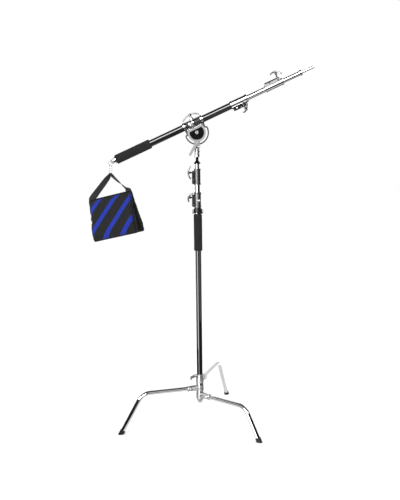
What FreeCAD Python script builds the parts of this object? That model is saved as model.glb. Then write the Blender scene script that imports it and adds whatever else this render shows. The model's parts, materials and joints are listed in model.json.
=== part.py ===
import FreeCAD, Part
import math
import os

V = FreeCAD.Vector
X, Y, Z = V(1, 0, 0), V(0, 1, 0), V(0, 0, 1)

# The stand is drawn about its column: X runs under the boom towards the stud, Y away from
# the front, Z up, with the floor at Z = 0. The finished shapes are then moved so that the
# origin is the middle of the floor area that the stand covers. All sizes are in millimetres.
COLUMN_FROM_ORIGIN = V(-17, -77, 0)

RUN = 0.05          # radial clearance of a part that turns or slides in another
TUBE_WALL = 2.0

# Base: three swinging legs stacked on a post
POST_R = 17.0
POST_BOTTOM = 138.0
POST_TOP = 293.0
BASE_SCREW_Z = 280.0
BASE_SCREW_BEARING = 210.0
COLLAR_BOTTOM = 266.0
COLLAR_R = 20.5
SOCKET_R = 14.3
SOCKET_BOTTOM = 183.0
RING_R = 23.0
RING_GAP = 0.1
LEG_R = 12.5
LEG_RISE = 2.15
LEG_KNEE = 363.7
LEG_FALL = 58.6
LEG_BEND = 80.0
LEG_START = 34.0
LEG_LIFT = 12.0
BRACKET_MOUTH = 80.0
BRACKET_BOLT = 62.0
FOOT_R = 15.5
FOOT_LENGTH = 38.0
LEGS = {
    "low": {"angle": -45.84, "ring": (150.0, 178.0)},
    "middle": {"angle": 203.15, "ring": (194.0, 222.0)},
    "high": {"angle": 70.05, "ring": (239.0, 266.0)},
}

# Column: an outer tube and two risers, each locked by the collar on the tube below it
COLUMN_R = 17.5
COLUMN_TOP = 1336.0
RISER_R = 15.0
RISER_BOTTOM = 352.0
RISER_TOP = 1472.0
TOP_RISER_R = 12.5
TOP_RISER_BOTTOM = 400.0
TOP_RISER_TOP = 1546.0
FOAM_R = 24.5
FOAM_SPAN = (1039.0, 1253.0)
ACCESSORY_SPAN = (1255.0, 1289.0)
LOWER_LOCK_SPAN = (1293.0, 1381.0)
LOWER_LOCK_R = 19.5
UPPER_LOCK_SPAN = (1425.0, 1518.0)
UPPER_LOCK_R = 18.0
LOCK_LEAN = 25.0    # how far each lock screw is turned from -X towards the front
LOWER_EAR = LOWER_LOCK_R + 13.0
LOWER_BOLT_Z = LOWER_LOCK_SPAN[0] + 15.0
LOWER_SCREW_Z = LOWER_LOCK_SPAN[0] + 59.0
UPPER_EAR = UPPER_LOCK_R + 13.0
UPPER_BOLT_Z = UPPER_LOCK_SPAN[0] + 26.0
UPPER_SCREW_Z = UPPER_LOCK_SPAN[0] + 71.0

# T handles
SCREW_R = 4.0
SCREW_GAP = 0.4     # from a backed-off lock screw's tip to the tube that it locks
BAR_R = 4.3
HANDLE_SPAN = 68.0
HANDLE_DROOP = 14.0
HANDLE_REACH = 58.0

# Head: a yoke on a 16 mm spigot, and a slotted cradle that tilts on the yoke
SPIGOT_R = 8.0
SPIGOT_TOP = 1638.0
FLANGE_R = 19.0
FLANGE_TOP = 1563.0
SOCKET_SPAN = (1586.0, 1648.0)
HEAD_SOCKET_R = 14.0
HEAD_SCREW_Z = 1618.0
PIVOT_Z = 1725.0
BOOM_TILT = 24.15
BOOM_OFFSET = 56.0  # from the pivot up to the boom's axis, square to the boom
TONGUE_HALF = 8.0
TONGUE_HALF_WIDTH = 18.5
TONGUE_ROUND = 21.0
PLATE_INNER = 8.5
PLATE_THICK = 6.0
PLATE_OUTER = PLATE_INNER + PLATE_THICK
PLATE_R = 52.5
SLOT_R = 57.5
SLOT_HALF = 5.1
BOW_HALF = 13.0
PLATE_TOP = 30.2
DISC_R = 42.0
DISC_THICK = 4.0
PIVOT_BOLT_R = 6.0
LOCK_BOLT_R = 4.9
LOCK_BOLT_Z = PIVOT_Z - SLOT_R
LOCK_BOLT_FRONT = -33.0
FACE_GAP = 0.1      # between faces that slide on one another
WASHER_THICK = 3.0
LEVER_LENGTH = 87.0
LEVER_SWING = 30.0  # how far the lever hangs from straight down, towards -X
LEVER_THICK = 9.0

# The cradle and the boom are drawn square to the boom, then carried into the stand: X runs
# along the boom from above the pivot, Z square to it, and Y is the stand's own.
CRADLE = FreeCAD.Placement(V(0, 0, PIVOT_Z), FreeCAD.Rotation(Y, -BOOM_TILT))

# Clamp round the boom
CLAMP_SPAN = (-58.0, 62.0)
CLAMP_R = 25.5
BAND_R = 27.0
LINER_R = 21.0
BAND_WIDTH = 10.0
SPLIT = 1.0
SADDLE_BOLTS = (-33.0, 33.0)
SADDLE_BOLT_N = 25.0
EAR_MIDDLE = -9.0
CLAMP_SCREW = 5.0
EAR_HALF = 7.0
EAR_BOLT = 32.0     # from the boom's axis out to each ear bolt

# Boom: three telescoping tubes; stations are measured along it from above the pivot
BOOM_R = 20.0
BOOM_SPAN = (-490.0, 300.0)
BOOM_GRIP_SPAN = (-490.0, -270.0)
BOOM_GRIP_R = 27.0
MIDDLE_BOOM_R = 16.0
MIDDLE_BOOM_SPAN = (-345.0, 512.0)
END_BOOM_R = 14.0
END_BOOM_SPAN = (-240.0, 676.0)
BOOM_WALL = 1.6
BUSH_LENGTH = 40.0
BOOM_LOCKS = {
    "inner": {"span": (241.0, 345.0), "radius": 23.5, "step": BOOM_SPAN[1],
              "bores": (BOOM_R, MIDDLE_BOOM_R + RUN), "ear": 41.0, "bolt": 269.0,
              "screw": 309.0, "reach": 72.0, "lean": 35.0, "side": -1, "spin": 62.0},
    "outer": {"span": (459.0, 569.0), "radius": 20.0, "step": MIDDLE_BOOM_SPAN[1],
              "bores": (MIDDLE_BOOM_R, END_BOOM_R + RUN), "ear": 34.0, "bolt": 493.0,
              "screw": 545.0, "reach": 74.0, "lean": 30.0, "side": 1, "spin": -42.0},
}
STUD_SPAN = (676.0, 762.0)
STUD_COLLAR = 11.0
PLUG_END = -523.0

# Counterweight bag on its hook and link, hanging plumb
HOOK_R = 3.0
HOOK_PATH = ((-484.0, 1559.0), (-508.5, 1531.0), (-521.5, 1564.0))
HOOK_BEND = 11.0
LATCH_PIN = (-497.5, 1565.5)
LATCH_LENGTH = 19.6
LINK_TOP = (-504.9, 1546.3)
LINK_DROP = 51.3
LINK_HALF = 10.0
LINK_ROD_R = 2.0
LINK_TURN = 50.0
BAG_CENTRE = V(-514, 27, 1366.5)
BAG_YAW = -15.0
BAG_ROLL = -12.5
BAG_WIDTH = 276.0
BAG_HEIGHT = 258.0
POUCH_SPLAY = 12.5
POUCH_GAP = 5.7       # from the bag's middle to the middle of each pouch's top edge
STRAP_THICK = 2.4
STRAP_WIDTH = 38.0
STRAP_NARROW = 9.0    # bunched where it passes through the link
STRAP_CLEAR = 1.6
STRAP_FOOT = 112.0    # from the bag's middle to the middle of each sewn end
STRAP_LIFT = 14.0
STRAP_SEWN = 18.0     # length of each end between the pouches


# ---------------------------------------------------------------- shape helpers
def cylinder(radius, start, end, axis=Z):
    """Rod along an axis through the drawing's zero point, from one station to another."""
    return Part.makeCylinder(radius, end - start, axis * start, axis)


def tube(outer, inner, start, end, axis=Z):
    return cylinder(outer, start, end, axis).cut(cylinder(inner, start - 1, end + 1, axis))


def box(x_span, y_span, z_span):
    sizes = [span[1] - span[0] for span in (x_span, y_span, z_span)]
    return Part.makeBox(*sizes, V(x_span[0], y_span[0], z_span[0]))


def turned(points):
    """Solid of revolution about Z, from (radius, height) points of a closed outline."""
    ring = [V(radius, 0, height) for radius, height in points]
    outline = Part.makePolygon(ring + [ring[0]])
    return Part.Face(outline).revolve(V(), Z, 360)


def bent_path(points, bend):
    """Straight runs joined by tangent arcs of one radius."""
    edges = []
    start = points[0]
    for before, corner, after in zip(points, points[1:], points[2:]):
        back = (before - corner).normalize()
        ahead = (after - corner).normalize()
        half = back.getAngle(ahead) / 2
        bisector = (back + ahead).normalize()
        centre = corner + bisector * (bend / math.sin(half))
        arc_start = corner + back * (bend / math.tan(half))
        arc_end = corner + ahead * (bend / math.tan(half))
        edges.append(Part.LineSegment(start, arc_start).toShape())
        edges.append(Part.Arc(arc_start, centre - bisector * bend, arc_end).toShape())
        start = arc_end
    edges.append(Part.LineSegment(start, points[-1]).toShape())
    return Part.Wire(edges)


def swept(path, radius):
    """Round rod along a path."""
    first = path.OrderedEdges[0]
    start = first.valueAt(first.FirstParameter)
    ahead = first.tangentAt(first.FirstParameter)
    profile = Part.Wire([Part.makeCircle(radius, start, ahead)])
    return path.makePipeShell([profile], True, False)


def hexagon(across_flats, start, end, axis=Z, centre=V()):
    """Hexagonal prism along an axis."""
    radius = across_flats / math.sqrt(3)
    corners = [V(radius, 0, 0)]
    corners += [V(radius * math.cos(a), radius * math.sin(a), 0)
                for a in (math.radians(60 * step) for step in range(1, 6))]
    prism = Part.Face(Part.makePolygon(corners + [corners[0]])).extrude(Z * (end - start))
    turn = FreeCAD.Rotation(Z, axis)
    prism.Placement = FreeCAD.Placement(centre + axis * start, turn)
    return prism


def bolt(radius, across_flats, grip_start, grip_end, axis, centre, head=5.0, nut=5.0):
    """Bolt with a hexagonal head before its grip and a nut, as one clamped-up piece, after it."""
    shank = Part.makeCylinder(radius, grip_end - grip_start + nut, centre + axis * grip_start, axis)
    parts = [shank, hexagon(across_flats, grip_start - head, grip_start, axis, centre)]
    parts.append(hexagon(across_flats, grip_end, grip_end + nut, axis, centre))
    return joined(parts)


def joined(shapes):
    whole = shapes[0].fuse(shapes[1:]) if len(shapes) > 1 else shapes[0]
    return whole.removeSplitter()


def group(shapes):
    """Separate solids that share one node."""
    return Part.makeCompound([solid for shape in shapes for solid in shape.Solids])


def soften(shape, radius, pick):
    """Fillet the edges that pick chooses."""
    edges = [edge for edge in shape.Edges if pick(edge)]
    return shape.makeFillet(radius, edges)


def placed(shape, placement):
    """Copy of a shape carried from its own drawing into the stand's."""
    return shape.transformed(placement.toMatrix(), True)


def facing(origin, forward, side):
    """Placement whose Z axis is forward and whose X axis is as near side as it can be."""
    return FreeCAD.Placement(origin, FreeCAD.Rotation(side, V(), forward, "ZXY"))


def level(angle):
    """Level direction at an angle from +X."""
    return V(math.cos(math.radians(angle)), math.sin(math.radians(angle)), 0)


# ---------------------------------------------------------------- base
def base_post():
    body = turned([
        (0, POST_BOTTOM), (POST_R, POST_BOTTOM), (POST_R, COLLAR_BOTTOM),
        (COLLAR_R, COLLAR_BOTTOM), (COLLAR_R, POST_TOP - 2), (COLLAR_R - 2, POST_TOP),
        (SOCKET_R + RUN, POST_TOP), (SOCKET_R + RUN, SOCKET_BOTTOM), (0, SOCKET_BOTTOM),
    ])
    outward = level(BASE_SCREW_BEARING)
    return body.cut(Part.makeCylinder(SCREW_R + RUN, 40, V(0, 0, BASE_SCREW_Z), outward))


def base_cap():
    return turned([
        (0, 117), (9, 117), (12, 120), (22, 141), (22, 150), (POST_R, 150),
        (POST_R, POST_BOTTOM), (0, POST_BOTTOM),
    ])


def spacer_rings():
    low, middle, high = (LEGS[name]["ring"] for name in ("low", "middle", "high"))
    gaps = ((low[1], middle[0]), (middle[1], high[0]))
    return group([tube(RING_R - 1.5, POST_R + RUN, *gap) for gap in gaps])


def leg_frame(name):
    """Drawing of one leg: X runs outward along the leg's bearing, Z up."""
    return FreeCAD.Placement(V(), FreeCAD.Rotation(Z, LEGS[name]["angle"]))


def leg_height(name, out):
    """Height of a leg's centre line at a distance from the column's axis, before the knee."""
    bottom, top = LEGS[name]["ring"]
    return (bottom + top) / 2 + out * math.tan(math.radians(LEG_RISE))


def leg_points(name):
    knee = V(LEG_KNEE, 0, leg_height(name, LEG_KNEE))
    fall = V(math.cos(math.radians(LEG_FALL)), 0, -math.sin(math.radians(LEG_FALL)))
    end = knee + fall * ((knee.z - LEG_LIFT) / math.sin(math.radians(LEG_FALL)))
    return V(LEG_START, 0, leg_height(name, LEG_START)), knee, end, fall


def leg_bolt_shape(name):
    centre = V(BRACKET_BOLT, 0, leg_height(name, BRACKET_BOLT))
    return bolt(4, 13, -17.2, 17.2, Y, centre)


def leg(name):
    start, knee, end, fall = leg_points(name)
    path = bent_path([start, knee, end], LEG_BEND)
    pipe = swept(path, LEG_R).cut(swept(path, LEG_R - TUBE_WALL))
    return placed(pipe.cut(leg_bolt_shape(name)), leg_frame(name))


def foot(name):
    start, knee, end, fall = leg_points(name)
    pad = Part.makeCylinder(FOOT_R, FOOT_LENGTH, end + fall * (FOOT_R + LEG_LIFT), fall * -1)
    pad = pad.cut(box((0, 900), (-50, 50), (-80, 0)))
    pad = soften(pad, 2.5, lambda edge: edge.BoundBox.ZMin > FOOT_LENGTH / 4)
    pad = pad.cut(Part.makeCylinder(LEG_R, FOOT_LENGTH * 2, end, fall * -1))
    return placed(pad, leg_frame(name))


def bracket(name):
    bottom, top = LEGS[name]["ring"]
    slack = 0 if name == "low" else RING_GAP
    along = V(math.cos(math.radians(LEG_RISE)), 0, math.sin(math.radians(LEG_RISE)))
    root = V(10, 0, leg_height(name, 10))
    arm = Part.makeCone(18.5, 15.8, BRACKET_MOUTH - 10, root, along)
    flange = Part.makeCylinder(17.2, 7, root + along * (BRACKET_MOUTH - 17), along)
    arm = joined([arm, flange]).common(cylinder(200, bottom - 4, top + 4))
    lug = box((BRACKET_BOLT - 9, BRACKET_BOLT + 9), (-17.2, 17.2), (-10, 10))
    lug.translate(V(0, 0, leg_height(name, BRACKET_BOLT)))
    near = cylinder(RING_R + 6, bottom - 10, top + 10)
    arm = arm.cut(near.cut(cylinder(RING_R + 6, bottom + slack, top - slack)))
    body = joined([cylinder(RING_R, bottom + slack, top - slack), arm, lug])
    body = body.cut(cylinder(POST_R + (0 if name == "low" else RUN), bottom - 10, top + 10))
    seat = Part.makeCylinder(LEG_R, BRACKET_MOUTH, leg_points(name)[0], along)
    return placed(body.cut(seat).cut(leg_bolt_shape(name)), leg_frame(name))


def leg_bolt(name):
    return placed(leg_bolt_shape(name), leg_frame(name))


# ---------------------------------------------------------------- locks and handles
def t_handle(tip, reach, span=HANDLE_SPAN, droop=HANDLE_DROOP):
    """T handle on its screw. Z runs outward from the locked tube's axis, the bar along X."""
    top = V(0, 0, reach)
    arc = Part.Arc(V(-span / 2, 0, reach - droop), top, V(span / 2, 0, reach - droop))
    bar = swept(Part.Wire([arc.toShape()]), BAR_R)
    ends = [Part.makeSphere(BAR_R, V(side * span / 2, 0, reach - droop)) for side in (-1, 1)]
    hub = Part.makeCone(6.5, 9.0, 10, V(0, 0, reach - 9))
    crown = Part.makeSphere(7.0, V(0, 0, reach))
    stem = cylinder(SCREW_R, tip, reach)
    nut = cylinder(6.5, reach - 16, reach - 9)
    return joined([stem, bar, hub, crown, nut] + ends)


def lock_collar(span, outer, lower_bore, upper_bore, step, ear, bolt_z, screw_z):
    """Split collar: its lower half grips one tube, its upper half guides the next.

    Z runs along the tubes, and the ears and the screw's boss stand out along +X.
    """
    bottom, top = span
    body = cylinder(outer, bottom, top)
    rims = [cylinder(outer + 1.6, bottom, bottom + 9), cylinder(outer + 1.6, top - 11, top)]
    ears = box((outer - 6, ear), (-8, 8), (bottom + 4, top - 12))
    ears = soften(ears, 5, lambda edge: edge.BoundBox.XMin > ear - 1 and edge.BoundBox.YLength > 15)
    boss = Part.makeCylinder(9.5, ear - 3, V(0, 0, screw_z), X)
    body = joined([body, ears, boss] + rims)
    body = body.cut(cylinder(lower_bore, bottom - 1, step))
    body = body.cut(cylinder(upper_bore, step - 1, top + 1))
    slit = box((0, ear + 20), (-1, 1), (bottom - 1, (bolt_z + screw_z) / 2))
    screw_hole = Part.makeCylinder(SCREW_R + RUN, ear + 20, V(0, 0, screw_z), X)
    bolt_hole = Part.makeCylinder(3, 40, V(ear - 7, -20, bolt_z), Y)
    return body.cut(slit).cut(screw_hole).cut(bolt_hole)


def lock_bolt(ear, bolt_z):
    return bolt(3, 10, -8, 8, Y, V(ear - 7, 0, bolt_z), head=4, nut=4)


def column_lock_frame(lean=LOCK_LEAN):
    """Turns a collar so that its screw points to -X, a little towards the front."""
    return FreeCAD.Placement(V(), FreeCAD.Rotation(Z, 180 + lean))


def column_handle(tip, height, spin, direction=None, reach=HANDLE_REACH):
    """T handle square to the column. spin turns its bar from upright about its screw."""
    outward = direction or level(180 + LOCK_LEAN)
    frame = facing(V(0, 0, height), outward, Z)
    turn = FreeCAD.Placement(V(), FreeCAD.Rotation(Z, spin))
    return placed(t_handle(tip, reach), frame.multiply(turn))


def base_lock_handle():
    return column_handle(SOCKET_R + SCREW_GAP, BASE_SCREW_Z, -50, level(BASE_SCREW_BEARING))


def lower_lock_collar():
    collar = lock_collar(LOWER_LOCK_SPAN, LOWER_LOCK_R, COLUMN_R, RISER_R + RUN, COLUMN_TOP,
                         LOWER_EAR, LOWER_BOLT_Z, LOWER_SCREW_Z)
    return placed(collar, column_lock_frame())


def lower_lock_bolt():
    return placed(lock_bolt(LOWER_EAR, LOWER_BOLT_Z), column_lock_frame())


def lower_lock_handle():
    return column_handle(RISER_R + SCREW_GAP, LOWER_SCREW_Z, -45)


def upper_lock_collar():
    collar = lock_collar(UPPER_LOCK_SPAN, UPPER_LOCK_R, RISER_R, TOP_RISER_R + RUN, RISER_TOP,
                         UPPER_EAR, UPPER_BOLT_Z, UPPER_SCREW_Z)
    return placed(collar, column_lock_frame())


def upper_lock_bolt():
    return placed(lock_bolt(UPPER_EAR, UPPER_BOLT_Z), column_lock_frame())


def upper_lock_handle():
    return column_handle(TOP_RISER_R + SCREW_GAP, UPPER_SCREW_Z, 0)


# ---------------------------------------------------------------- column
def column_tube():
    """Outer tube, swaged down at its foot to stand in the base."""
    inside = COLUMN_R - TUBE_WALL
    foot_inside = SOCKET_R - TUBE_WALL
    foot = SOCKET_BOTTOM + 1
    shoulder = POST_TOP + 0.2
    return turned([
        (foot_inside, foot), (SOCKET_R, foot), (SOCKET_R, shoulder), (COLUMN_R, shoulder),
        (COLUMN_R, COLUMN_TOP), (inside, COLUMN_TOP), (inside, shoulder + 12),
        (foot_inside, shoulder + 8),
    ])


def foam_sleeve(outer, inner, start, end):
    sleeve = soften(cylinder(outer, start, end), 4, lambda edge: edge.Closed)
    return sleeve.cut(cylinder(inner, start - 1, end + 1))


def accessory_collar():
    """Split ring with a cable hook on each side."""
    bottom, top = ACCESSORY_SPAN
    outer = COLUMN_R + 5.5
    ring = cylinder(outer, bottom, top)
    arms = box((-outer - 8, outer + 8), (-4, 4), (bottom + 3, top - 7))
    notch = box((outer + 2.5, outer + 5), (-6, 6), (bottom + 9, top))
    arms = arms.cut(notch).cut(notch.mirror(V(), X))
    body = joined([soften(ring, 1.5, lambda edge: edge.Closed), arms])
    split = box((COLUMN_R - 2, outer + 10), (-0.6, 0.6), (bottom - 1, top + 1))
    return body.cut(cylinder(COLUMN_R, bottom - 1, top + 1)).cut(split)


def riser(radius, bottom, top, outside_radius):
    """Tube with a bush at its foot that runs in the bore of the tube outside it."""
    inside = radius - TUBE_WALL
    bush = tube(outside_radius - TUBE_WALL - RUN, inside, bottom, bottom + BUSH_LENGTH)
    return joined([tube(radius, inside, bottom, top), bush])


def middle_riser():
    return riser(RISER_R, RISER_BOTTOM, RISER_TOP, COLUMN_R)


def top_riser():
    return riser(TOP_RISER_R, TOP_RISER_BOTTOM, TOP_RISER_TOP, RISER_R)


def top_spigot():
    """Flanged 16 mm spigot pressed into the top riser, with a neck for the head's screw."""
    plug = TOP_RISER_R - TUBE_WALL
    seat = TOP_RISER_TOP
    neck = SPIGOT_R - 1.5
    return turned([
        (0, seat - 30), (plug, seat - 30), (plug, seat),
        (FLANGE_R, seat), (FLANGE_R, seat + 4), (FLANGE_R - 4, seat + 10),
        (FLANGE_R - 9, FLANGE_TOP), (SPIGOT_R, FLANGE_TOP),
        (SPIGOT_R, HEAD_SCREW_Z - 8), (neck, HEAD_SCREW_Z - 6),
        (neck, HEAD_SCREW_Z + 6), (SPIGOT_R, HEAD_SCREW_Z + 8),
        (SPIGOT_R, SPIGOT_TOP - 1.5), (neck, SPIGOT_TOP), (0, SPIGOT_TOP),
    ])


# ---------------------------------------------------------------- head
def across(radius, start, end, height, x=0.0):
    """Rod along Y through a point at a height on the column's axis."""
    return Part.makeCylinder(radius, end - start, V(x, start, height), Y)


def head_yoke():
    """Socket for the spigot below a flat tongue that stands between the cradle's plates."""
    bottom, top = SOCKET_SPAN
    socket = cylinder(HEAD_SOCKET_R, bottom, top)
    rim = cylinder(HEAD_SOCKET_R + 1.5, bottom, bottom + 7)
    width = (-TONGUE_HALF_WIDTH, TONGUE_HALF_WIDTH)
    thickness = (-TONGUE_HALF, TONGUE_HALF)
    shoulder = box(width, (-HEAD_SOCKET_R - 0.5, HEAD_SOCKET_R + 0.5), (top - 8, top + 4))
    shoulder = soften(shoulder, 4, lambda edge: edge.BoundBox.ZLength > 10)
    tongue = box(width, thickness, (top - 3, PIVOT_Z))
    crown = across(TONGUE_ROUND, *thickness, PIVOT_Z)
    body = joined([socket, rim, shoulder, tongue, crown])
    body = body.cut(cylinder(SPIGOT_R + RUN, bottom - 1, SPIGOT_TOP + 1))
    body = body.cut(across(PIVOT_BOLT_R, -30, 30, PIVOT_Z))
    body = body.cut(across(LOCK_BOLT_R, -30, 30, LOCK_BOLT_Z))
    return body.cut(Part.makeCylinder(SCREW_R + RUN, 30, V(0, 0, HEAD_SCREW_Z), Y))


def socket_screw():
    """Wing screw behind the socket that holds the head on its spigot."""
    shank = Part.makeCylinder(SCREW_R, 22, V(0, SPIGOT_R + SCREW_GAP, HEAD_SCREW_Z), Y)
    hub = Part.makeCylinder(7, 12, V(0, 19, HEAD_SCREW_Z), Y)
    wings = box((-17, 17), (22, 33), (HEAD_SCREW_Z - 2, HEAD_SCREW_Z + 2))
    wings = soften(wings, 4, lambda edge: edge.BoundBox.ZLength > 3)
    return joined([shank, hub, wings])


def pivot_bolt():
    """Hexagon bolt that the cradle tilts on, and its nut."""
    rear = PLATE_OUTER + DISC_THICK + FACE_GAP
    front = -rear
    centre = V(0, 0, PIVOT_Z)
    head = hexagon(19, front - 8, front, Y, centre)
    shank = across(PIVOT_BOLT_R, front - 1, rear + 12, PIVOT_Z)
    nut = hexagon(19, rear, rear + 9, Y, centre).cut(shank)
    return group([joined([head, shank]), nut])


def tilt_lock_bolt():
    rear = PLATE_OUTER + FACE_GAP + WASHER_THICK
    head = hexagon(15, rear, rear + 6, Y, V(0, 0, LOCK_BOLT_Z))
    return joined([head, across(LOCK_BOLT_R, LOCK_BOLT_FRONT, rear + 1, LOCK_BOLT_Z)])


def clamp_washers():
    """Plates under the lever and the bolt head that bridge the bow's slot."""
    inner = PLATE_OUTER + FACE_GAP
    pads = []
    for start in (-inner - WASHER_THICK, inner):
        pad = box((-17, 17), (start, start + WASHER_THICK), (LOCK_BOLT_Z - 14, LOCK_BOLT_Z + 14))
        pad = soften(pad, 5, lambda edge: edge.BoundBox.YLength > 2)
        pads.append(pad.cut(across(LOCK_BOLT_R, -40, 40, LOCK_BOLT_Z)))
    return group(pads)


def tilt_lever():
    """Ratchet lever that tightens the tilt lock: a splined hub and a long tapered arm."""
    seat = -(PLATE_OUTER + FACE_GAP + WASHER_THICK + FACE_GAP)
    hub = across(10.5, seat - 17, seat, LOCK_BOLT_Z)
    cap = across(7.5, seat - 20, seat - 17, LOCK_BOLT_Z)
    tip_radius = 7.0
    end = LEVER_LENGTH - tip_radius
    sides = [V(-8.5, 0, 0), V(-tip_radius, 0, -end), V(tip_radius, 0, -end), V(8.5, 0, 0)]
    slab = Part.Face(Part.makePolygon(sides + [sides[0]])).extrude(Y * -LEVER_THICK)
    tip = Part.makeCylinder(tip_radius, LEVER_THICK, V(0, -LEVER_THICK, -end), Y)
    hang = FreeCAD.Placement(V(0, seat - 7, LOCK_BOLT_Z), FreeCAD.Rotation(Y, LEVER_SWING))
    bore = across(LOCK_BOLT_R + RUN, LOCK_BOLT_FRONT - FACE_GAP, 0, LOCK_BOLT_Z)
    return joined([hub, cap, placed(joined([slab, tip]), hang)]).cut(bore)


# ---------------------------------------------------------------- cradle
def along_boom(radius, start, end):
    return Part.makeCylinder(radius, end - start, V(start, 0, BOOM_OFFSET), X)


def boom_tube_shape(outer, inner, start, end):
    return along_boom(outer, start, end).cut(along_boom(inner, start - 1, end + 1))


def tilt_plate(front):
    """Plate with a disc round the pivot inside a half-circle bow with a closed slot."""
    start = -PLATE_OUTER if front else PLATE_INNER
    end = start + PLATE_THICK

    def disc(radius, x=0.0, margin=0.0):
        return across(radius, start - margin, end + margin, 0, x)

    lower_half = box((-90, 90), (start - 2, end + 2), (-90, 0))
    bow = disc(SLOT_R + BOW_HALF).cut(disc(SLOT_R - BOW_HALF)).common(lower_half)
    slot = disc(SLOT_R + SLOT_HALF, 0, 1).cut(disc(SLOT_R - SLOT_HALF, 0, 1)).common(lower_half)
    ends = [disc(BOW_HALF, side * SLOT_R) for side in (-1, 1)]
    slot_ends = [disc(SLOT_HALF, side * SLOT_R, 1) for side in (-1, 1)]
    middle = disc(PLATE_R).common(box((-90, 90), (start, end), (-90, PLATE_TOP)))
    top = box((-58, 60), (start, end), (11, PLATE_TOP))
    plate = joined([middle, bow, top] + ends).cut(joined([slot] + slot_ends))
    plate = plate.cut(disc(PIVOT_BOLT_R + RUN, 0, 1))
    for station in SADDLE_BOLTS:
        plate = plate.cut(across(3, start - 1, end + 1, SADDLE_BOLT_N, station))
    return placed(plate, CRADLE)


def friction_discs():
    """Black disc on the outside of each plate, round the pivot bolt."""
    discs = []
    for start in (-PLATE_OUTER - DISC_THICK, PLATE_OUTER):
        disc = across(DISC_R, start, start + DISC_THICK, 0)
        disc = disc.cut(across(PIVOT_BOLT_R + RUN, start - 1, start + DISC_THICK + 1, 0))
        discs.append(disc.cut(box((-60, 60), (-30, 30), (19, 60))))
    return placed(group(discs), CRADLE)


def half_clamp(upper):
    """Half of the boom clamp, cut away between its end bands and its middle ears."""
    start, end = CLAMP_SPAN
    shell = along_boom(CLAMP_R, start, end)
    bands = [along_boom(BAND_R, start, start + BAND_WIDTH),
             along_boom(BAND_R, end - BAND_WIDTH, end)]
    ears = box((EAR_MIDDLE - 12, EAR_MIDDLE + 12), (-EAR_BOLT - 5, EAR_BOLT + 5),
               (BOOM_OFFSET - EAR_HALF, BOOM_OFFSET + EAR_HALF))
    ears = soften(ears, 5, lambda edge: edge.BoundBox.ZLength > EAR_HALF * 1.9)
    pieces = [shell, ears] + bands
    if upper:
        pieces.append(Part.makeCylinder(12, CLAMP_R + 7, V(CLAMP_SCREW, 0, BOOM_OFFSET), Z))
    else:
        pieces.append(box((-52, 52), (-PLATE_INNER, PLATE_INNER), (22, 36)))
        pieces += [across(6.5, -PLATE_INNER, PLATE_INNER, SADDLE_BOLT_N, s) for s in SADDLE_BOLTS]
    body = joined(pieces).cut(along_boom(LINER_R, start - 1, end + 1))
    gap = SPLIT / 2
    keep = (BOOM_OFFSET + gap, BOOM_OFFSET + 60) if upper else (0, BOOM_OFFSET - gap)
    body = body.common(box((start - 1, end + 1), (-60, 60), keep))
    windows = ((start + BAND_WIDTH + 2, EAR_MIDDLE - 15), (EAR_MIDDLE + 15, end - BAND_WIDTH - 2))
    for window in windows:
        body = body.cut(box(window, (-60, 60), (BOOM_OFFSET - 13, BOOM_OFFSET + 13)))
    for side in (-1, 1):
        body = body.cut(Part.makeCylinder(3, 30, V(EAR_MIDDLE, side * EAR_BOLT, BOOM_OFFSET - 15), Z))
    return body


def clamp_saddle():
    body = half_clamp(False)
    for station in SADDLE_BOLTS:
        body = body.cut(across(3, -20, 20, SADDLE_BOLT_N, station))
    return placed(body, CRADLE)


def clamp_cap():
    hole = Part.makeCylinder(SCREW_R + RUN, 60, V(CLAMP_SCREW, 0, BOOM_OFFSET), Z)
    return placed(half_clamp(True).cut(hole), CRADLE)


def clamp_liner():
    """Split plastic liner between the clamp and the boom."""
    start, end = CLAMP_SPAN[0] + 1, CLAMP_SPAN[1] - 1
    liner = boom_tube_shape(LINER_R, BOOM_R + RUN, start, end)
    liner = liner.cut(box((start - 1, end + 1), (-30, 0), (BOOM_OFFSET - 0.5, BOOM_OFFSET + 0.5)))
    hole = Part.makeCylinder(SCREW_R + RUN, 60, V(CLAMP_SCREW, 0, BOOM_OFFSET), Z)
    return placed(liner.cut(hole), CRADLE)


def cradle_bolts():
    """Two bolts through plates and saddle, and one through each pair of clamp ears."""
    bolts = []
    for station in SADDLE_BOLTS:
        bolts.append(bolt(3, 10, -PLATE_OUTER, PLATE_OUTER, Y, V(station, 0, SADDLE_BOLT_N), 4, 4))
    for side in (-1, 1):
        bolts.append(bolt(3, 10, -EAR_HALF, EAR_HALF, Z, V(EAR_MIDDLE, side * EAR_BOLT, BOOM_OFFSET), 4, 4))
    return placed(group(bolts), CRADLE)


def clamp_handle():
    """Large T handle whose screw bears on the boom from above."""
    handle = t_handle(BOOM_R + SCREW_GAP, 54, 96, 18)
    handle.translate(V(CLAMP_SCREW, 0, BOOM_OFFSET))
    return placed(handle, CRADLE)


# ---------------------------------------------------------------- boom
def boom_tube():
    return placed(boom_tube_shape(BOOM_R, BOOM_R - TUBE_WALL, *BOOM_SPAN), CRADLE)


def boom_foam_grip():
    start, end = BOOM_GRIP_SPAN
    sleeve = foam_sleeve(BOOM_GRIP_R, BOOM_R, start, end)
    lay = FreeCAD.Placement(V(0, 0, BOOM_OFFSET), FreeCAD.Rotation(Y, 90))
    return placed(sleeve, CRADLE.multiply(lay))


def boom_end_plug():
    """Plug in the boom's rear end, flattened to a tongue that carries the hook."""
    start = BOOM_SPAN[0]
    neck = start - 18
    pieces = [
        along_boom(BOOM_R - TUBE_WALL, start, start + 30),
        along_boom(BOOM_R - 1, start - 7, start),
        along_boom(13, neck, start),
        along_boom(12, PLUG_END, start).common(box((PLUG_END - 1, start), (-5, 5), (0, 100))),
    ]
    return placed(joined(pieces), CRADLE).cut(boom_hook_rod()).cut(latch_pin_hole())


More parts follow.
